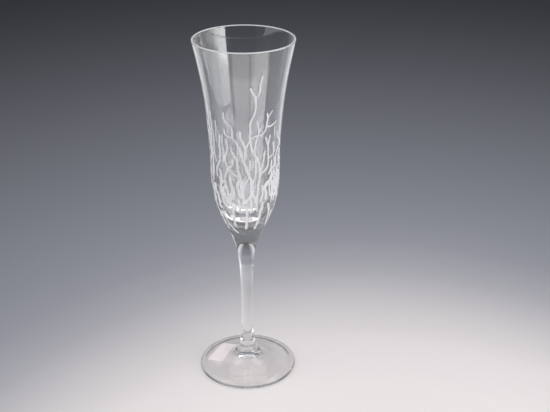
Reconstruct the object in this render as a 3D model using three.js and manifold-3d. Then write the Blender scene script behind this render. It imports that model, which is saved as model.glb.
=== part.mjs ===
// A champagne flute in clear crystal: a trumpet bowl on a drawn stem and a round foot, with a small paper
// label stuck under the foot. The three glass pieces are made apart and joined hot, so each one is its own
// solid here, with a thin gap where it meets its neighbour. Millimetres, +Z up, origin on the table under
// the centre of the foot. -Y is the front.

import * as THREE from "three";
import { mergeVertices } from "three/addons/utils/BufferGeometryUtils.js";
import Module from "manifold-3d";

const wasm = await Module();
wasm.setup();

// Driving dimensions
const HEIGHT = 240; // table to rim
const RIM_RADIUS = 32.9; // outside of the rim
const WALL = 1.3; // of the upper bowl
const SHOULDER_HEIGHT = 140; // where the bowl starts to close in
const SHOULDER_RADIUS = 22.2;
const CAVITY_BOTTOM = 117.8; // lowest point of the inside of the bowl
const STEM_JOINT_HEIGHT = 94.5; // bowl to stem
const STEM_JOINT_RADIUS = 6.8;
const STEM_RADIUS = 3.85; // at its slimmest
const FOOT_JOINT_HEIGHT = 16; // stem to foot
const FOOT_JOINT_RADIUS = 5.95;
const FOOT_RADIUS = 33.9;
const FOOT_EDGE = 2.8; // thickness at its rounded edge
const REST_RING = [31.2, 32.9]; // the flat ring that stands on the table
const KICK_EDGE = 0.6; // height of the hollow underside just inside the ring
const KICK_CENTRE = 7; // and at its centre
const JOINT_GAP = 0.3; // left between touching pieces

const LABEL_SIZE = [12.4, 23.2]; // across and along
const LABEL_CORNER = 0.8;
const LABEL_THICKNESS = 0.15;
const LABEL_CENTRE = [-17.7, 9.5];
const LABEL_TURN = THREE.MathUtils.degToRad(-30); // of its long side, from +Y

const GLASS_SIDES = 48; // facets round the bowl and the foot
const STEM_SIDES = 32;
const STEPS = 3; // straight pieces between two points of a curved outline

function crystal() {
  return new THREE.MeshStandardMaterial({
    color: 0xf2f4f5,
    roughness: 0.02,
    metalness: 0,
    transparent: true,
    opacity: 0.35,
  });
}

function paper() {
  return new THREE.MeshStandardMaterial({ color: 0xe9e1df, roughness: 0.85, metalness: 0 });
}

// A smooth outline through [radius, height] points.
function smooth(points) {
  const curve = new THREE.SplineCurve(points.map(([r, z]) => new THREE.Vector2(r, z)));
  return curve.getPoints(STEPS * (points.length - 1));
}

// An arc of the outline about [r, z], from one angle to another in degrees.
function round(r, z, radius, from, to, steps) {
  return Array.from({ length: steps + 1 }, (_, i) => {
    const a = THREE.MathUtils.degToRad(from + ((to - from) * i) / steps);
    return new THREE.Vector2(r + radius * Math.cos(a), z + radius * Math.sin(a));
  });
}

// A solid of revolution about Z. Its outline runs anticlockwise: out along the bottom, then up.
function turned(outline, sides) {
  return new THREE.LatheGeometry(outline, sides).rotateX(Math.PI / 2);
}

function onAxis(z) {
  return new THREE.Vector2(0, z);
}

function mesh(name, geometry, material) {
  const made = new THREE.Mesh(geometry, material);
  made.name = name;
  return made;
}

// A closed geometry as a manifold-3d solid, for a cut, and back again.
function toSolid(geometry) {
  const plain = new THREE.BufferGeometry();
  plain.setAttribute("position", geometry.getAttribute("position"));
  plain.setIndex(geometry.getIndex());
  const merged = mergeVertices(plain, 1e-4);
  return new wasm.Manifold(
    new wasm.Mesh({
      numProp: 3,
      vertProperties: new Float32Array(merged.attributes.position.array),
      triVerts: new Uint32Array(merged.index.array),
    }),
  );
}

function toGeometry(solid) {
  const { vertProperties, triVerts } = solid.getMesh();
  return new THREE.BufferGeometry()
    .setAttribute("position", new THREE.BufferAttribute(vertProperties, 3))
    .setIndex(new THREE.BufferAttribute(triVerts, 1));
}

// The bowl: a solid base that opens into a thin trumpet wall with a fire-rounded rim.
function bowl() {
  const rimRound = WALL / 2;
  const rimCentre = [RIM_RADIUS - rimRound, HEIGHT - rimRound];
  const outside = smooth([
    [STEM_JOINT_RADIUS, STEM_JOINT_HEIGHT],
    [9.8, 103.5],
    [15.3, 116],
    [20, 128],
    [SHOULDER_RADIUS, SHOULDER_HEIGHT],
    [23, 160],
    [24.6, 187],
    [27.9, 214],
    [RIM_RADIUS, rimCentre[1]],
  ]);
  const inside = smooth([
    [RIM_RADIUS - WALL, rimCentre[1]],
    [27.9 - WALL, 214],
    [24.6 - WALL, 187],
    [23 - 1.15 * WALL, 160],
    [19.4, SHOULDER_HEIGHT],
    [15.8, 129.6],
    [11.4, 123],
    [6.3, 119.2],
    [3, CAVITY_BOTTOM + 0.35],
  ]);
  const rim = round(...rimCentre, rimRound, 30, 150, 4);
  return turned(
    [onAxis(STEM_JOINT_HEIGHT), ...outside, ...rim, ...inside, onAxis(CAVITY_BOTTOM)],
    GLASS_SIDES,
  );
}

// The stem: drawn thin, and wider again into the bowl above and the foot below.
function stem() {
  const bottom = FOOT_JOINT_HEIGHT + JOINT_GAP;
  const top = STEM_JOINT_HEIGHT - JOINT_GAP;
  const side = smooth([
    [FOOT_JOINT_RADIUS, bottom],
    [5.2, 19.5],
    [4.3, 25.5],
    [STEM_RADIUS, 38],
    [4, 58],
    [4.45, 76],
    [5.35, 86],
    [STEM_JOINT_RADIUS, top],
  ]);
  return turned([onAxis(bottom), ...side, onAxis(top)], STEM_SIDES);
}

// The hollow underside of the foot, from its rest ring to its centre, lowered by a distance.
function underside(drop) {
  return smooth([
    [REST_RING[0] - 0.5, KICK_EDGE - drop],
    [24, 1.4 - drop],
    [16, 3 - drop],
    [10, 4.8 - drop],
    [5, 6.4 - drop],
    [0, KICK_CENTRE - drop],
  ]);
}

// The foot: a thin shallow cone with a hollow underside, a rounded edge and a raised centre for the stem.
function foot() {
  const edgeRound = FOOT_EDGE / 2;
  const edge = round(FOOT_RADIUS - edgeRound, edgeRound, edgeRound, -72, 72, 6);
  const top = smooth([
    [31.6, FOOT_EDGE + 0.1],
    [22, 4.5],
    [15.5, 6.2],
    [11, 8.9],
    [7.9, 12],
    [FOOT_JOINT_RADIUS, FOOT_JOINT_HEIGHT],
  ]);
  const ring = REST_RING.map((r) => new THREE.Vector2(r, 0));
  return turned(
    [...underside(0).reverse(), ...ring, ...edge, ...top, onAxis(FOOT_JOINT_HEIGHT)],
    GLASS_SIDES,
  );
}

// The outline of the label, a rounded rectangle about its own centre.
function labelOutline() {
  const [w, l] = LABEL_SIZE.map((size) => size / 2 - LABEL_CORNER);
  const corners = [
    [w, -l, -90],
    [w, l, 0],
    [-w, l, 90],
    [-w, -l, 180],
  ];
  return new THREE.Shape(
    corners.flatMap(([x, y, from]) => round(x, y, LABEL_CORNER, from, from + 90, 3)),
  );
}

// The label: a slip of paper that follows the underside of the foot.
function label() {
  const upper = underside(JOINT_GAP);
  const lower = underside(JOINT_GAP + LABEL_THICKNESS);
  const sheet = turned([...lower.reverse(), ...upper], GLASS_SIDES);
  const prism = new THREE.ExtrudeGeometry(labelOutline(), {
    depth: 2 * KICK_CENTRE,
    bevelEnabled: false,
  })
    .rotateZ(LABEL_TURN)
    .translate(...LABEL_CENTRE, -KICK_CENTRE / 2);
  return toGeometry(toSolid(sheet).intersect(toSolid(prism)));
}

const flute = new THREE.Group();
flute.add(
  mesh("bowl", bowl(), crystal()),
  mesh("stem", stem(), crystal()),
  mesh("foot", foot(), crystal()),
  mesh("label", label(), paper()),
);

export default flute;
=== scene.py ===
"""A champagne flute in clear crystal, with a branching coral engraving, on a pale studio floor.

The three glass pieces are turned from smooth outlines at the sizes that the frame gives. The engraving is
cut into the bowl's surface: its strokes are drawn on the unrolled bowl, meshed together with the glass
around them, and sunk below it. Outlines and strokes are in millimetres, and everything built is in metres.
"""

import math
import random

import bpy
import numpy as np
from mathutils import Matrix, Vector, noise
from mathutils.geometry import delaunay_2d_cdt
from mathutils.kdtree import KDTree


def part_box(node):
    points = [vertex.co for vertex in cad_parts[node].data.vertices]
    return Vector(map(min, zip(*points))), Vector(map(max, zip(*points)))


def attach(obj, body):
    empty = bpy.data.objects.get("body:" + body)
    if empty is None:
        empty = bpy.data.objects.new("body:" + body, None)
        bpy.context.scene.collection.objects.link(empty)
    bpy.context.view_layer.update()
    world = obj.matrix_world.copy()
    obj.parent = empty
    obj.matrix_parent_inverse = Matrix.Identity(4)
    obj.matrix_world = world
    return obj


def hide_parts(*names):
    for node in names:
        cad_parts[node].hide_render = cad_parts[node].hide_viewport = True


MM = 0.001

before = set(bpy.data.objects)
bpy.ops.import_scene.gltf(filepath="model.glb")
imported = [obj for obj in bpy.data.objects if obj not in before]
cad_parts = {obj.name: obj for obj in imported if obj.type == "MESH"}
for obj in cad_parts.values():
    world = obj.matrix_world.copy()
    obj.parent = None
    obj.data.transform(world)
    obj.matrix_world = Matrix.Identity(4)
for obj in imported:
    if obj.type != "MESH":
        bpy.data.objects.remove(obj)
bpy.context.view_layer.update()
bowl_low, bowl_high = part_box("bowl")
stem_low, stem_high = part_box("stem")
_, foot_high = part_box("foot")

# Sizes from the frame, in millimetres
HEIGHT = bowl_high.z / MM
RIM_RADIUS = bowl_high.x / MM
FOOT_RADIUS = foot_high.x / MM
UPPER_JOINT = (bowl_low.z + stem_high.z) / 2 / MM
LOWER_JOINT = (stem_low.z + foot_high.z) / 2 / MM

# The glass
RIM_ROUND = 0.68
RIM_FLARE = math.radians(11)
FOOT_EDGE_ROUND = 1.45
GLASS_STEP = 1.3
SIDES = 192
OUTSIDE = [
    (22, 4.5),
    (15.5, 6.2),
    (11, 8.9),
    (7.9, 12),
    (6, 16),
    (5.2, 19.5),
    (4.3, 25.5),
    (3.9, 34),
    (3.85, 44),
    (4.1, 64),
    (5.2, 84),
    (7.3, 96.3),
    (12.6, 110),
    (19.2, 125.6),
    (22.2, 140),
    (22.95, 160),
    (24.45, 186),
    (27.9, 214),
]
INSIDE = [
    (26.6, 214),
    (23.1, 186),
    (21.4, 160),
    (20.4, 147),
    (18.9, 138),
    (15.8, 129.6),
    (11.4, 123),
    (6.3, 119.2),
    (0, 117.8),
]
UNDERSIDE = [(0, 7), (5, 6.4), (10, 4.8), (16, 3), (24, 1.4), (29.6, 0.75), (31.2, 0.12)]

# The engraving
GROOVE_DEPTH = 0.32
GROOVE_STEP = 0.9
STROKE_BREADTH = ((148, 182), (1.0, 0.76))

CLEAR, FROST, FUSED = range(3)


def smooth_line(points, step):
    """An even curve through the points, cut into pieces of about step: a natural cubic spline."""
    p = np.array(points, float)
    t = np.concatenate([[0], np.cumsum(np.linalg.norm(np.diff(p, axis=0), axis=1))])
    h = np.diff(t)
    system = np.eye(len(p))
    bend = np.zeros_like(p)
    for i in range(1, len(p) - 1):
        system[i, i - 1 : i + 2] = h[i - 1], 2 * (h[i - 1] + h[i]), h[i]
        bend[i] = 6 * ((p[i + 1] - p[i]) / h[i] - (p[i] - p[i - 1]) / h[i - 1])
    m = np.linalg.solve(system, bend)
    u = np.linspace(0, t[-1], max(2, round(t[-1] / step) + 1))
    i = np.clip(np.searchsorted(t, u) - 1, 0, len(h) - 1)
    a = (t[i + 1] - u)[:, None]
    b = (u - t[i])[:, None]
    s = h[i][:, None]
    curved = (m[i] * a**3 + m[i + 1] * b**3) / (6 * s)
    return curved + (p[i] / s - m[i] * s / 6) * a + (p[i + 1] / s - m[i + 1] * s / 6) * b


def arc(r, z, radius, start, end, steps):
    """Points on a round of the outline about (r, z), from one angle to another in radians."""
    a = np.linspace(start, end, steps + 1)
    return np.stack([r + radius * np.cos(a), z + radius * np.sin(a)], axis=1)


def outward(line):
    """The unit normals, out of the glass, of an outline that runs up the outside and down the inside."""
    along = np.gradient(line, axis=0)
    across = np.stack([along[:, 1], -along[:, 0]], axis=1)
    return across / np.linalg.norm(across, axis=1)[:, None]


rim_centre = np.array([RIM_RADIUS - RIM_ROUND, HEIGHT - RIM_ROUND])
rim_side = RIM_ROUND * np.array([math.cos(RIM_FLARE), -math.sin(RIM_FLARE)])
edge_centre = (FOOT_RADIUS - FOOT_EDGE_ROUND, FOOT_EDGE_ROUND)

outside = smooth_line(
    [(edge_centre[0] - 1.5, 2 * FOOT_EDGE_ROUND + 0.12), *OUTSIDE, rim_centre + rim_side], 0.05
)


def between(low, high, step):
    """The part of the glass's outside between two heights, in pieces of about step, with its exact ends."""
    inside_range = outside[(outside[:, 1] > low) & (outside[:, 1] < high)]
    ends = [(np.interp(z, outside[:, 1], outside[:, 0]), z) for z in (low, high)]
    line = np.vstack([ends[0], inside_range, ends[1]])
    run = np.concatenate([[0], np.cumsum(np.linalg.norm(np.diff(line, axis=0), axis=1))])
    at = np.linspace(0, run[-1], round(run[-1] / step) + 1)
    return np.stack([np.interp(at, run, line[:, 0]), np.interp(at, run, line[:, 1])], axis=1)


# ---- The engraving ----

# Strokes of the coral on the bowl's front, each a width and the points it runs through, as degrees round
# from the front and heights.
TALL = [
    (1.7, [(23, 223.5), (20.5, 217), (20, 212.5), (15, 209.5)]),
    (1.7, [(8, 216), (11, 213), (15, 209.5)]),
    (1.8, [(15, 210), (15.5, 202), (13.5, 197.5), (9, 194), (8.2, 188), (8, 181), (9.5, 176.5), (14, 171),
           (21, 166), (24, 160), (24.5, 155), (22, 149), (21, 143), (17, 137)]),
    (1.6, [(43, 198.5), (36.5, 195), (34, 189.5), (31, 185.3), (23, 183.5), (16, 183.2), (8.5, 181)]),
    (1.6, [(34, 197.5), (35.8, 193.5)]),
    (1.7, [(53, 190), (47, 189), (41, 188.2), (34, 188.8)]),
    (1.6, [(20.5, 183.5), (17.5, 179.5), (16, 175), (15, 170.5)]),
    (1.5, [(18, 193.5), (20.5, 189), (21.8, 186), (20, 183.5)]),
    (1.4, [(26, 189.5), (24, 187.5), (21.8, 186)]),
    (1.7, [(8, 181), (4, 177.5), (1, 175.2)]),
]
LEFT = [
    (1.7, [(-31, 198.5), (-29.5, 193), (-22, 190.3), (-18.5, 187), (-19.8, 182.5)]),
    (1.7, [(-32, 187), (-29.5, 183.2), (-20.5, 182.3), (-13, 178), (-8.5, 174.5), (-7, 170.5)]),
    (2.0, [(-7, 186.5), (-6, 182.5), (-2.5, 178.5), (0.5, 175), (1, 171), (0, 168)]),
    (1.9, [(-8, 176), (-5, 170), (-2, 166), (2, 161.5), (6, 156.5), (10, 152), (12, 147), (10, 142),
           (5, 139.2), (0, 136.5)]),
    (1.7, [(6, 154.5), (1, 151.2), (-3, 147.5), (-3.8, 142), (-1.5, 136.5)]),
    (1.5, [(8, 166.5), (7.4, 162), (6.3, 156.5)]),
    (1.6, [(17, 166.5), (17.6, 161), (16.5, 155.5), (13, 151)]),
    (1.6, [(32.5, 171.5), (31, 166.5), (28.5, 161.5), (24.8, 157.5)]),
    (1.8, [(-22, 175.5), (-18.5, 170.5), (-13.3, 167), (-12.3, 161), (-9.5, 157), (-6.5, 152.5), (-6, 146),
           (-4, 140)]),
]
RIGHT = [
    (1.6, [(33.5, 181), (36, 178), (38.6, 175)]),
    (1.6, [(42, 181.5), (39.5, 177), (39.3, 171), (40, 165.5), (38.5, 160.5), (33, 158), (26, 156)]),
    (1.7, [(49.5, 176), (52.3, 171), (52.5, 169), (45, 167), (40.2, 165.5)]),
    (1.7, [(58.5, 182.5), (61.5, 178.5), (70, 175.5), (76, 171)]),
    (1.1, [(51, 187), (51.6, 183.5), (52, 180)]),
    (1.7, [(47.5, 163.5), (46.8, 159), (47, 153), (42, 150), (36, 147)]),
    (1.7, [(64, 171), (60, 167), (58.5, 161), (62, 155), (58, 149)]),
    (1.7, [(72, 176), (69, 168), (70, 160), (66, 152), (68, 145)]),
    (1.6, [(53, 166), (55, 159), (53, 152), (56, 146), (50, 140)]),
]
FAR_LEFT = [
    (1.2, [(-48, 191), (-49, 186), (-49.5, 181), (-50, 177)]),
    (1.8, [(-41.5, 182), (-43.3, 177), (-43.5, 168), (-46.5, 162.8), (-51, 160), (-52, 153)]),
    (1.6, [(-36.5, 182.5), (-38, 178), (-36.5, 174), (-35.5, 170), (-38, 165)]),
    (1.7, [(-30, 180.5), (-28.3, 176), (-29.5, 171.5), (-33, 168.5), (-33, 164.5), (-28.5, 160.5)]),
    (1.6, [(-20, 167), (-20.5, 163.5), (-24.5, 161.7), (-28.5, 160.5), (-32, 157.5), (-35, 153.5),
           (-33, 147), (-30, 141)]),
    (1.8, [(-27, 160), (-22, 157.5), (-16, 156.3), (-11, 154)]),
    (1.7, [(-58, 196), (-60, 188), (-56, 180), (-58, 171), (-53, 163)]),
    (1.7, [(-66, 186), (-63, 178), (-66, 169), (-62, 160), (-64, 151)]),
    (1.6, [(-25, 156), (-24, 150), (-20, 145), (-21, 139)]),
    (1.7, [(-46, 158), (-42, 152), (-44, 146), (-38, 140)]),
]
ROOTS = [
    (1.7, [(2, 133), (2.6, 127), (2, 120), (0.5, 114.8)]),
    (1.8, [(31, 135), (28.5, 127), (27, 120), (23.5, 114.3)]),
    (1.7, [(-22, 133), (-25, 124), (-26, 116.8)]),
    (1.6, [(-52, 126), (-45, 118.5), (-36, 113.5), (-25, 110.3)]),
    (1.7, [(44, 133), (52, 125), (57, 118), (69, 113)]),
    (2.2, [(-62, 146), (-67, 134), (-64, 124), (-55, 115)]),
    (2.0, [(-80, 142), (-86, 129), (-84, 118)]),
    (2.0, [(66, 148), (70, 136), (73, 126), (70, 116)]),
    (1.4, [(-12, 139), (-10, 134), (-11, 129.7)]),
    (1.3, [(-5, 137), (-6, 132)]),
    (1.4, [(9, 138), (11, 134), (10, 128.7)]),
    (1.4, [(19, 139), (20.5, 129.7)]),
]
FRONT = TALL + LEFT + RIGHT + FAR_LEFT


def turned_copy(strokes, turn, mirror, stretch):
    """The same strokes elsewhere on the bowl, where they are mirrored or drawn shorter."""
    base = 130
    return [
        (width, [(turn + mirror * phi, base + stretch * (z - base)) for phi, z in points])
        for width, points in strokes
    ]


def thicket(rng, count, left, right, low, high):
    """Short upright strokes that fill a part of the coral, but for two clear gaps at the front."""
    made = []
    while len(made) < count:
        phi = rng.uniform(left, right)
        z = rng.uniform(low, high)
        if -19 < phi < 25 and z < 137:
            continue
        lean = rng.uniform(-1, 1)
        points = []
        for k in range(4):
            points.append((phi, z))
            phi += 7 * lean + rng.uniform(-4, 4)
            z += rng.uniform(3, 5)
            lean = -0.4 * lean + rng.uniform(-0.5, 0.5)
        made.append((rng.uniform(1.4, 1.9), points))
    return made


rng = random.Random(12)
strokes = [
    *FRONT,
    *turned_copy(LEFT + FAR_LEFT, -128, -1, 0.9),
    *turned_copy(RIGHT + LEFT, 118, -1, 0.62),
    *turned_copy(LEFT + FAR_LEFT, 170, 1, 0.14),
    *turned_copy(RIGHT + LEFT, -165, 1, 0.14),
    *ROOTS,
    *turned_copy(ROOTS[:5], 112, 1, 1),
    *turned_copy(ROOTS[:5], -108, -1, 1),
    *thicket(rng, 62, -180, 180, 130, 146),
    *thicket(rng, 16, -105, -66, 150, 184),
    *thicket(rng, 12, -100, -46, 126, 140),
    *thicket(rng, 6, 62, 105, 140, 164),
]


class Unrolled:
    """The outside of the bowl laid flat, as an angle and a height that keep the shape of a drawing."""

    def __init__(self, line):
        middle = (line[1:, 0] + line[:-1, 0]) / 2
        self.line = line
        self.normals = outward(line)
        self.flat = np.concatenate([[0], np.cumsum(np.linalg.norm(np.diff(line, axis=0), axis=1) / middle)])

    def height(self, z):
        return np.interp(z, self.line[:, 1], self.flat)

    def radius(self, flat):
        return np.interp(flat, self.flat, self.line[:, 0])

    def place(self, angle, flat, depth):
        """Points and normals in space for angles and flat heights, sunk by a depth."""
        r, z, nr, nz = (
            np.interp(flat, self.flat, column) for column in (*self.line.T, *self.normals.T)
        )
        sunk = r - depth * nr
        x, y = np.sin(angle), -np.cos(angle)
        points = np.stack([sunk * x, sunk * y, z - depth * nz], axis=1)
        return points, np.stack([nr * x, nr * y, nz], axis=1)


def stroke_shape(bowl_map, number, width, points):
    """A stroke's centre line, its half width along it and its closed outline, on the unrolled bowl."""
    flat = np.array([(math.radians(phi), bowl_map.height(z)) for phi, z in points])
    scale = bowl_map.radius(flat[:, 1].mean())
    centre = smooth_line(flat, GROOVE_STEP / scale)
    run = np.linspace(0, len(centre) * GROOVE_STEP, len(centre))
    wobble = np.array([noise.noise(Vector((0.35 * s, 9.1 * number, 0))) for s in run])
    broad = np.interp(np.interp(centre[:, 1], bowl_map.flat, bowl_map.line[:, 1]), *STROKE_BREADTH)
    half = broad * width / 2 / bowl_map.radius(centre[:, 1]) * (1 + 0.16 * wobble)
    along = np.gradient(centre, axis=0)
    along /= np.linalg.norm(along, axis=1)[:, None]
    side = np.stack([-along[:, 1], along[:, 0]], axis=1)
    turn = np.linspace(0, math.pi, 8)[1:-1, None]
    start_cap = centre[0] + half[0] * (-side[0] * np.cos(turn) - along[0] * np.sin(turn))
    end_cap = centre[-1] + half[-1] * (side[-1] * np.cos(turn) + along[-1] * np.sin(turn))
    offset = side * half[:, None]
    outline = np.vstack([centre + offset, end_cap, (centre - offset)[::-1], start_cap])
    inner = np.vstack([centre, centre + 0.55 * offset, centre - 0.55 * offset])
    return centre, half, outline, inner


class Coral:
    """All the strokes. share() is a point's distance from the nearest one, in half widths of it."""

    def __init__(self, bowl_map):
        self.shapes = []
        for number, (width, points) in enumerate(strokes):
            shape = stroke_shape(bowl_map, number, width, points)
            self.shapes.append(shape)
            middle = shape[0][:, 0].mean()
            for turn in (-2 * math.pi, 2 * math.pi):
                if abs(middle + turn) < math.pi + 0.8:
                    moved = np.array([turn, 0])
                    self.shapes.append((shape[0] + moved, shape[1], shape[2] + moved, shape[3] + moved))
        dense = []
        for centre, half, *_ in self.shapes:
            steps = np.linspace(0, len(centre) - 1, 6 * (len(centre) - 1) + 1)
            whole = np.arange(len(centre))
            columns = (centre[:, 0], centre[:, 1], half)
            dense.append(np.stack([np.interp(steps, whole, c) for c in columns], axis=1))
        self.samples = np.vstack(dense)
        self.reach = 1.3 * self.samples[:, 2].max()
        self.tree = KDTree(len(self.samples))
        for i, (angle, flat, _) in enumerate(self.samples):
            self.tree.insert((angle, flat, 0), i)
        self.tree.balance()

    def share(self, angle, flat):
        found = self.tree.find_range((angle, flat, 0), self.reach)
        return min((distance / self.samples[i, 2] for _, i, distance in found), default=9.0)


def engraved_surface(line):
    """The bowl's outside as points, normals, triangles and their material, with the coral sunk into it."""
    bowl_map = Unrolled(line)
    coral = Coral(bowl_map)
    rows = between(line[0, 1], line[-1, 1], GLASS_STEP)[:, 1]
    angles = np.linspace(-math.pi, math.pi, SIDES + 1)
    points, edges = [], []
    for row, z in enumerate(rows):
        for column, angle in enumerate(angles):
            flat = bowl_map.height(z)
            on_border = row in (0, len(rows) - 1) or column in (0, SIDES)
            if on_border or coral.share(angle, flat) > 1.2:
                points.append((angle, flat))
    for border in (-math.pi, math.pi):
        first = len(points)
        points += [(border, bowl_map.height(z)) for z in rows]
        edges += [(first + k, first + k + 1) for k in range(len(rows) - 1)]
    for _, _, outline, inner in coral.shapes:
        first = len(points)
        points += [tuple(p) for p in outline]
        edges += [(first + k, first + (k + 1) % len(outline)) for k in range(len(outline))]
        points += [tuple(p) for p in inner]
    verts, _, faces, *_ = delaunay_2d_cdt([Vector(p) for p in points], edges, [], 0, 1e-4, False)
    flat_verts = np.array([tuple(v) for v in verts])
    shares = np.array([coral.share(*v) for v in flat_verts])
    depth = GROOVE_DEPTH * np.sqrt(np.clip(1 - shares**2, 0, 1))
    depth[shares > 0.985] = 0
    placed, normals = bowl_map.place(flat_verts[:, 0], flat_verts[:, 1], depth)
    faces = np.array(faces)
    middles = flat_verts[faces].mean(axis=1)
    faces = faces[np.abs(middles[:, 0]) < math.pi]
    middles = flat_verts[faces].mean(axis=1)
    materials = [FROST if coral.share(*m) < 1 else CLEAR for m in middles]
    return placed, normals, faces, materials


# ---- Meshes ----


class Build:
    """Collects a piece's points, faces, face materials and corner normals, and makes its mesh."""

    def __init__(self):
        self.points, self.faces, self.materials, self.normals = [], [], [], []

    def surface(self, points, normals, faces, materials):
        first = len(self.points)
        self.points += [tuple(p) for p in points]
        self.faces += [tuple(first + int(i) for i in face) for face in faces]
        self.materials += list(materials)
        for face, material in zip(faces, materials):
            self.normals += [tuple(normals[i]) if material == CLEAR else (0, 0, 0) for i in face]

    def turned(self, line):
        """A turned surface. Its outline starts or ends on the axis, or doesn't reach it."""
        normals_2d = outward(line)
        points, normals, faces = [], [], []
        rings = []
        for (r, z), (nr, nz) in zip(line, normals_2d):
            count = SIDES if r > 1e-6 else 1
            rings.append(range(len(points), len(points) + count))
            for k in range(count):
                a = -math.pi + 2 * math.pi * k / SIDES
                points.append((r * math.sin(a), -r * math.cos(a), z))
                normals.append((nr * math.sin(a), -nr * math.cos(a), nz) if count > 1 else (0, 0, nz))
        for lower, upper in zip(rings, rings[1:]):
            for k in range(SIDES):
                corners = [
                    lower[k % len(lower)],
                    lower[(k + 1) % len(lower)],
                    upper[(k + 1) % len(upper)],
                    upper[k % len(upper)],
                ]
                faces.append(list(dict.fromkeys(corners)))
        self.surface(points, normals, faces, [CLEAR] * len(faces))

    def joint(self, radius, z, up):
        """The flat face where a piece is fused to the next: light passes it unchanged."""
        ring = [-math.pi + 2 * math.pi * k / SIDES for k in range(SIDES)]
        points = [(0, 0, z)] + [(radius * math.sin(a), -radius * math.cos(a), z) for a in ring]
        pairs = [(1 + k, 1 + (k + 1) % SIDES) for k in range(SIDES)]
        faces = [(0, a, b) if up else (0, b, a) for a, b in pairs]
        no_normals = [(0, 0, 0)] * len(points)
        self.surface(points, no_normals, faces, [FUSED] * len(faces))

    def finish(self, name, materials):
        mesh = bpy.data.meshes.new(name)
        mesh.from_pydata([[MM * c for c in p] for p in self.points], [], self.faces)
        for material in materials:
            mesh.materials.append(material)
        mesh.polygons.foreach_set("material_index", self.materials)
        mesh.polygons.foreach_set("use_smooth", [True] * len(self.faces))
        mesh.attributes.new("given_normal", "FLOAT_VECTOR", "CORNER")
        mesh.attributes["given_normal"].data.foreach_set("vector", np.ravel(self.normals))
        obj = bpy.data.objects.new(name, mesh)
        bpy.context.scene.collection.objects.link(obj)
        weld = obj.modifiers.new("weld", "WELD")
        weld.merge_threshold = 0.002 * MM
        depsgraph = bpy.context.evaluated_depsgraph_get()
        welded = bpy.data.meshes.new_from_object(obj.evaluated_get(depsgraph))
        obj.modifiers.clear()
        obj.data = welded
        bpy.data.meshes.remove(mesh)
        welded.name = name
        mark_sharp(welded)
        given = np.zeros(3 * len(welded.loops))
        welded.attributes["given_normal"].data.foreach_get("vector", given)
        welded.attributes.remove(welded.attributes["given_normal"])
        welded.normals_split_custom_set(given.reshape(-1, 3))
        return obj


def mark_sharp(mesh):
    """Marks as sharp each edge between two materials, so that frost and glass are shaded apart."""
    seen = {}
    for polygon in mesh.polygons:
        for key in polygon.edge_keys:
            seen.setdefault(key, set()).add(polygon.material_index)
    sharp = [len(seen[tuple(sorted(edge.vertices))]) > 1 for edge in mesh.edges]
    mesh.edges.foreach_set("use_edge_sharp", sharp)


# ---- Materials ----


PAPER_GLOW = 0.38


class NodeTree:
    """The nodes of a material or a light under construction."""

    def __init__(self, tree):
        self.nodes = tree.nodes
        self.links = tree.links

    def ramp(self, value, *stops):
        """Maps a value to colours, or to greys where a stop's colour is a number."""
        ramp = self.nodes.new("ShaderNodeValToRGB")
        for element in list(ramp.color_ramp.elements)[1:]:
            ramp.color_ramp.elements.remove(element)
        for k, (at, colour) in enumerate(stops):
            element = ramp.color_ramp.elements[0] if k == 0 else ramp.color_ramp.elements.new(at)
            element.position = at
            element.color = (*((colour,) * 3 if isinstance(colour, (int, float)) else colour), 1)
        self.links.new(value, ramp.inputs["Fac"])
        return ramp.outputs["Color"]


class Material(NodeTree):
    """A node material under construction, with its main shader and the surface's own coordinates."""

    def __init__(self, name):
        self.made = bpy.data.materials.new(name)
        self.made.use_nodes = True
        super().__init__(self.made.node_tree)
        self.shader = self.nodes["Principled BSDF"]
        self.place = self.nodes.new("ShaderNodeTexCoord").outputs["Object"]

    def noise(self, scale, detail=2.0, stretch=(1, 1, 1)):
        mapping = self.nodes.new("ShaderNodeMapping")
        mapping.inputs["Scale"].default_value = stretch
        texture = self.nodes.new("ShaderNodeTexNoise")
        texture.inputs["Scale"].default_value = scale
        texture.inputs["Detail"].default_value = detail
        self.links.new(self.place, mapping.inputs["Vector"])
        self.links.new(mapping.outputs["Vector"], texture.inputs["Vector"])
        return texture.outputs["Fac"]

    def share(self, value, low, high):
        """0 below one value and 1 above another."""
        share = self.nodes.new("ShaderNodeMapRange")
        share.inputs["From Min"].default_value = low
        share.inputs["From Max"].default_value = high
        self.links.new(value, share.inputs["Value"])
        return share.outputs["Result"]

    def height(self, low, high):
        """0 below one height and 1 above another, in metres."""
        parts = self.nodes.new("ShaderNodeSeparateXYZ")
        self.links.new(self.place, parts.inputs["Vector"])
        return self.share(parts.outputs["Z"], low, high)

    def radius(self, low, high):
        """0 nearer the glass's axis than one radius and 1 beyond another, in metres."""
        flat = self.nodes.new("ShaderNodeVectorMath")
        flat.operation = "MULTIPLY"
        flat.inputs[1].default_value = (1, 1, 0)
        self.links.new(self.place, flat.inputs[0])
        length = self.nodes.new("ShaderNodeVectorMath")
        length.operation = "LENGTH"
        self.links.new(flat.outputs["Vector"], length.inputs[0])
        return self.share(length.outputs["Value"], low, high)

    def larger(self, first, second):
        both = self.nodes.new("ShaderNodeMath")
        both.operation = "MAXIMUM"
        self.links.new(first, both.inputs[0])
        self.links.new(second, both.inputs[1])
        return both.outputs["Value"]

    def bump(self, height, strength, distance):
        bump = self.nodes.new("ShaderNodeBump")
        bump.inputs["Strength"].default_value = strength
        bump.inputs["Distance"].default_value = distance
        self.links.new(height, bump.inputs["Height"])
        return bump.outputs["Normal"]

    def set(self, **values):
        for name, value in values.items():
            socket = self.shader.inputs[name.replace("_", " ").title().replace("Ior", "IOR")]
            if isinstance(value, bpy.types.NodeSocket):
                self.links.new(value, socket)
            else:
                socket.default_value = value


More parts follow.
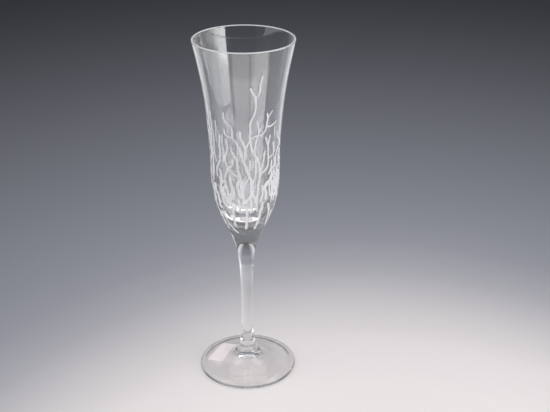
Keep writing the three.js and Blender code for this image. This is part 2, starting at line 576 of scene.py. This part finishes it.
def crystal_material():
    """Polished crystal: clear, with faint ripples and smears and a duller rim. The foot's outer edge is
    tinted grey as painted shade, for the dark outline round the foot.
    """
    m = Material("clear_crystal")
    ripples = m.noise(38, 1.5, (1, 1, 2.6))
    smears = m.ramp(m.noise(55, 4, (1, 1, 0.5)), (0.35, 0.0), (0.8, 0.02))
    height = m.height((HEIGHT - 1.2) * MM, HEIGHT * MM)
    m.set(
        # Painted shade: beyond a radius of 33 mm the glass is tinted grey, to draw the dark outline round
        # the foot's edge.
        base_color=m.ramp(m.radius(0.033, 0.0334), (0.0, 1.0), (1.0, 0.55)),
        transmission_weight=m.ramp(height, (0.0, 1.0), (0.4, 1.0), (0.75, 0.45)),
        ior=1.52,
        roughness=m.larger(smears, m.ramp(height, (0.0, 0.0), (0.5, 0.3))),
        normal=m.bump(ripples, 0.08, 0.0006),
    )
    return m.made


def frost_material():
    """The blasted strokes: white, dull and finely grained."""
    m = Material("etched_frost")
    grain = m.noise(2600, 3)
    blotches = m.noise(420, 3)
    m.set(
        base_color=m.ramp(blotches, (0.3, (0.63, 0.63, 0.65)), (0.7, (0.73, 0.73, 0.745))),
        transmission_weight=0.25,
        ior=1.52,
        roughness=m.ramp(grain, (0.3, 0.55), (0.7, 0.8)),
        normal=m.bump(grain, 0.5, 0.00015),
    )
    return m.made


def fused_material():
    """Two pieces of glass melted together: there is nothing to see."""
    m = Material("fused_joint")
    m.nodes.remove(m.shader)
    clear = m.nodes.new("ShaderNodeBsdfTransparent")
    m.links.new(clear.outputs["BSDF"], m.nodes["Material Output"].inputs["Surface"])
    return m.made


def paper_material():
    """Uncoated label paper with a faint tint and fibres. It glows a little, to show through the foot."""
    m = Material("label_paper")
    fibres = m.noise(900, 6, (1, 0.35, 1))
    cloud = m.noise(120, 2)
    m.set(
        base_color=m.ramp(cloud, (0.3, (0.9, 0.82, 0.83)), (0.7, (0.95, 0.89, 0.89))),
        roughness=m.ramp(fibres, (0.3, 0.8), (0.7, 0.95)),
        emission_color=(1, 0.91, 0.93, 1),
        emission_strength=PAPER_GLOW,
        normal=m.bump(fibres, 0.3, 0.00005),
    )
    return m.made


crystal = crystal_material()
frost = frost_material()
fused = fused_material()
paper = paper_material()


# ---- Pieces ----


def make_bowl():
    line = between(UPPER_JOINT, outside[-1, 1], 0.1)
    build = Build()
    build.surface(*engraved_surface(line))
    rim = arc(*rim_centre, RIM_ROUND, -RIM_FLARE, math.pi - RIM_FLARE, 16)
    build.turned(rim)
    inner = [rim_centre - rim_side, *INSIDE]
    cavity = smooth_line(inner + [(-r, z) for r, z in inner[-2::-1]], GLASS_STEP)
    cavity = cavity[: len(cavity) // 2 + 1]
    cavity[-1] = INSIDE[-1]
    build.turned(cavity)
    build.joint(line[0, 0], UPPER_JOINT, up=False)
    return build.finish("bowl_crystal", [crystal, frost, fused])


def make_stem():
    line = between(LOWER_JOINT, UPPER_JOINT, 0.7)
    build = Build()
    build.turned(line)
    build.joint(line[0, 0], LOWER_JOINT, up=False)
    build.joint(line[-1, 0], UPPER_JOINT, up=True)
    return build.finish("stem_crystal", [crystal, frost, fused])


def make_foot():
    top = between(outside[0, 1], LOWER_JOINT, 0.7)
    edge = arc(*edge_centre, FOOT_EDGE_ROUND, -math.pi / 2, math.pi / 2, 20)
    flat_ring = smooth_line([*UNDERSIDE, edge[0]], 0.7)
    build = Build()
    build.turned(np.vstack([flat_ring[:-1], edge, top]))
    build.joint(top[-1, 0], LOWER_JOINT, up=True)
    return build.finish("foot_crystal", [crystal, frost, fused])


glass = {"bowl": make_bowl(), "stem": make_stem(), "foot": make_foot()}
for node, piece in glass.items():
    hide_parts(node)
    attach(piece, "root")

label_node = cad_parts["label"]
label_node.data.materials.clear()
label_node.data.materials.append(paper)


# ---- Stage, lights and camera ----


# The floor's light falls off from a point in front of the glass, faster to the sides. Each part of it is a
# level, the distance at which that is halved, in metres, and how sharply it falls there.
POOL_CENTRE = (0.08, -0.35, 0)
POOL_SQUEEZE = (1.43, 1, 1)
POOL = (0.5, 0.44, 12)
POOL_TINT = (1.12, 1, 0.87)
GLOW = (0.4, 0.75, 2.8)
GLOW_TINT = (0.955, 1, 1.16)
EVEN_WITHIN = 0.32
GLOW_END = 1.6
WALL_AT = 1.8
WALL_COLOUR = (0.19, 0.2, 0.22)
STAGE_REACH = 2.0
STAGE_STOPS = 24
STAGE_PAINT = 0.54
STAGE_OWN_LIGHT = 0.42


def falloff(distance, level, reach, sharpness):
    return level / (1 + (distance / reach) ** sharpness)


def painted_floor_light(distance):
    """A warm pool of light with a fairly sharp edge, on a wider and bluer glow."""
    pool = falloff(distance, *POOL)
    glow = falloff(distance, *GLOW)
    return [pool * warm + glow * cool for warm, cool in zip(POOL_TINT, GLOW_TINT)]


def make_stage():
    """A pale floor that falls away to a darker sweep all round."""
    floor_radius, wall_radius, wall_height = 1.25, 1.6, 1.9
    curve = wall_radius - floor_radius
    outline = [(0.0, 0.0)]
    outline += [(r, 0.0) for r in np.linspace(0.1, floor_radius, 12)]
    outline += [
        (floor_radius + curve * math.sin(a), curve * (1 - math.cos(a)))
        for a in np.linspace(0, math.pi / 2, 17)[1:]
    ]
    outline.append((wall_radius, wall_height))
    sides = 96
    points = [(0, 0, 0)]
    faces = []
    for row, (r, z) in enumerate(outline[1:]):
        for k in range(sides):
            a = 2 * math.pi * k / sides
            points.append((r * math.cos(a), r * math.sin(a), z))
            here = 1 + row * sides + k
            beside = 1 + row * sides + (k + 1) % sides
            faces.append((here, beside, 0) if row == 0 else (here - sides, here, beside, beside - sides))
    mesh = bpy.data.meshes.new("stage")
    mesh.from_pydata(points, [], faces)
    mesh.polygons.foreach_set("use_smooth", [True] * len(faces))
    stage = bpy.data.objects.new("stage", mesh)
    bpy.context.scene.collection.objects.link(stage)
    mesh.materials.append(stage_material())


def stage_material():
    """Backdrop card with a painted pool of light: nearly white in front of the glass and shading to
    blue-grey behind it, in both its colour and its own glow.
    """
    m = Material("stage")
    squeezed = m.nodes.new("ShaderNodeVectorMath")
    squeezed.operation = "MULTIPLY"
    squeezed.inputs[1].default_value = POOL_SQUEEZE
    m.links.new(m.place, squeezed.inputs[0])
    pool = m.nodes.new("ShaderNodeVectorMath")
    pool.operation = "DISTANCE"
    pool.inputs[1].default_value = [c * k for c, k in zip(POOL_CENTRE, POOL_SQUEEZE)]
    m.links.new(squeezed.outputs["Vector"], pool.inputs[0])
    reach = m.nodes.new("ShaderNodeMath")
    reach.operation = "DIVIDE"
    reach.inputs[1].default_value = STAGE_REACH
    m.links.new(pool.outputs["Value"], reach.inputs[0])
    floor = [(d / STAGE_REACH, painted_floor_light(d)) for d in np.linspace(EVEN_WITHIN, GLOW_END, STAGE_STOPS)]
    stops = [*floor, (WALL_AT / STAGE_REACH, WALL_COLOUR)]
    # The ramp is the painted pool of light, used for the card's colour and for its glow.
    shade = m.ramp(reach.outputs["Value"], *stops)
    dull = m.nodes.new("ShaderNodeVectorMath")
    dull.operation = "SCALE"
    dull.inputs["Scale"].default_value = STAGE_PAINT
    m.links.new(shade, dull.inputs[0])
    m.set(base_color=dull.outputs["Vector"], roughness=0.9, specular_ior_level=0.1)
    m.set(emission_color=shade, emission_strength=STAGE_OWN_LIGHT)
    return m.made


LIGHT_DISTANCE = 0.9
CARD_HEIGHT = 0.003
# Gradients across and up the lights, as shares of their size and brightness
EVEN = [(0.0, 0.0), (0.15, 1.0), (0.85, 1.0), (1.0, 0.0)]
RIGHT_ACROSS = [(0.0, 1.0), (0.3, 0.9), (0.45, 0.45), (0.75, 0.3), (1.0, 0.3)]
RIGHT_UPWARD = [(0.0, 0.35), (0.5, 0.55), (0.62, 1.0), (1.0, 1.0)]
LEFT_ACROSS = [(0.0, 0.8), (0.3, 0.8), (0.5, 1.0), (0.9, 1.0), (1.0, 0.3)]
LEFT_UPWARD = [(0.0, 0.7), (1.0, 1.0)]


def light_panel(name, centre, target, width, height, radiance, across=None, upward=None):
    """A square light of a given brightness that the camera doesn't see, evenly lit or with a gradient."""
    light = bpy.data.lights.new(name, "AREA")
    light.shape = "RECTANGLE"
    light.size = width
    light.size_y = height
    light.energy = radiance * math.pi * width * height
    if across:
        light.use_nodes = True
        tree = NodeTree(light.node_tree)
        parts = tree.nodes.new("ShaderNodeSeparateXYZ")
        tree.links.new(tree.nodes.new("ShaderNodeNewGeometry").outputs["Parametric"], parts.inputs["Vector"])
        glow = tree.nodes.new("ShaderNodeVectorMath")
        glow.operation = "MULTIPLY"
        tree.links.new(tree.ramp(parts.outputs["X"], *across), glow.inputs[0])
        tree.links.new(tree.ramp(parts.outputs["Y"], *upward), glow.inputs[1])
        tree.links.new(glow.outputs["Vector"], tree.nodes["Emission"].inputs["Color"])
    obj = bpy.data.objects.new(name, light)
    obj.location = centre
    obj.rotation_euler = (Vector(target) - Vector(centre)).to_track_quat("-Z", "Y").to_euler()
    obj.visible_camera = False
    bpy.context.scene.collection.objects.link(obj)
    return obj


def soft_box(name, from_angle, to_angle, low, high, radiance, across=None, upward=None):
    """An upright panel that faces the glass, between two angles round from the front and two heights."""
    middle = math.radians(from_angle + to_angle) / 2
    width = 2 * LIGHT_DISTANCE * math.tan(math.radians(to_angle - from_angle) / 2)
    height = (low + high) / 2
    centre = (LIGHT_DISTANCE * math.sin(middle), -LIGHT_DISTANCE * math.cos(middle), height)
    return light_panel(name, centre, (0, 0, height), width, high - low, radiance, across, upward)


def white_card(name, low_corner, high_corner, radiance, across=EVEN, upward=EVEN):
    """A light that lies just over the table and faces up, which the camera doesn't see."""
    (x0, y0), (x1, y1) = low_corner, high_corner
    centre = ((x0 + x1) / 2, (y0 + y1) / 2, CARD_HEIGHT)
    light_panel(name, centre, (centre[0], centre[1], 1), x1 - x0, y1 - y0, radiance, across, upward)


def make_lights():
    world = bpy.data.worlds.new("studio")
    world.use_nodes = True
    world.node_tree.nodes["Background"].inputs["Color"].default_value = (0.78, 0.75, 0.77, 1)
    bpy.context.scene.world = world
    soft_box("right_box", 44, 124, 0.01, 0.45, 6.8, RIGHT_ACROSS, RIGHT_UPWARD)
    soft_box("right_top", 50, 82, 0.6, 1.1, 0.7)
    left_box = soft_box("left_box", -124, -42, 0.01, 0.35, 1.9, LEFT_ACROSS, LEFT_UPWARD)
    # Seen in the glass as a reflection only, so that the bowl isn't filled with it in a side view.
    left_box.visible_transmission = False
    soft_box("left_top", -112, -52, 0.5, 1.1, 2)
    soft_box("front", -40, 40, 0.01, 0.16, 0.9)
    soft_box("rear", 160, 200, 0.3, 0.8, 0.25)
    light_panel("overhead_left", (-0.6, -0.05, 1.12), (-0.6, -0.05, 0), 0.5, 0.9, 1.8)
    light_panel("overhead_right", (0.6, 0.05, 1.12), (0.6, 0.05, 0), 0.5, 0.9, 1.8)
    white_card("front_card", (-0.18, -0.5), (0.13, -0.12), 1.8)
    white_card("front_right_card", (0.07, -0.5), (0.33, -0.1), 2.6)
    white_card("far_right_card", (0.3, -0.7), (0.8, -0.1), 2.1)
    white_card("right_card", (0.12, -0.14), (0.5, 0.2), 0.7)
    white_card("left_card", (-0.38, -0.38), (-0.12, 0.05), 1.8)
    white_card("far_left_card", (-0.7, -0.6), (-0.33, 0.15), 1.2)
    white_card("back_left_card", (-0.6, 0.1), (-0.1, 1.2), 0.65, [(0.0, 0.0), (0.4, 1.0), (1.0, 0.0)])
    white_card("back_right_card", (0.1, 0.1), (0.6, 1.2), 0.65, [(0.0, 0.0), (0.6, 1.0), (1.0, 0.0)])


def make_camera():
    """The view of a standing person who looks down at the table."""
    camera = bpy.data.cameras.new("camera")
    camera.lens = 67.54
    camera.sensor_width = 36
    obj = bpy.data.objects.new("camera", camera)
    obj.location = (0, -0.6288, 0.4161)
    obj.rotation_euler = (math.radians(90 - 24.9), 0, math.radians(-1.79))
    bpy.context.scene.collection.objects.link(obj)
    bpy.context.scene.camera = obj


make_stage()
make_lights()
make_camera()
bpy.context.scene.view_settings.view_transform = "Standard"
bpy.context.scene.cycles.max_bounces = 48
bpy.context.scene.cycles.transmission_bounces = 48
bpy.context.scene.cycles.glossy_bounces = 24
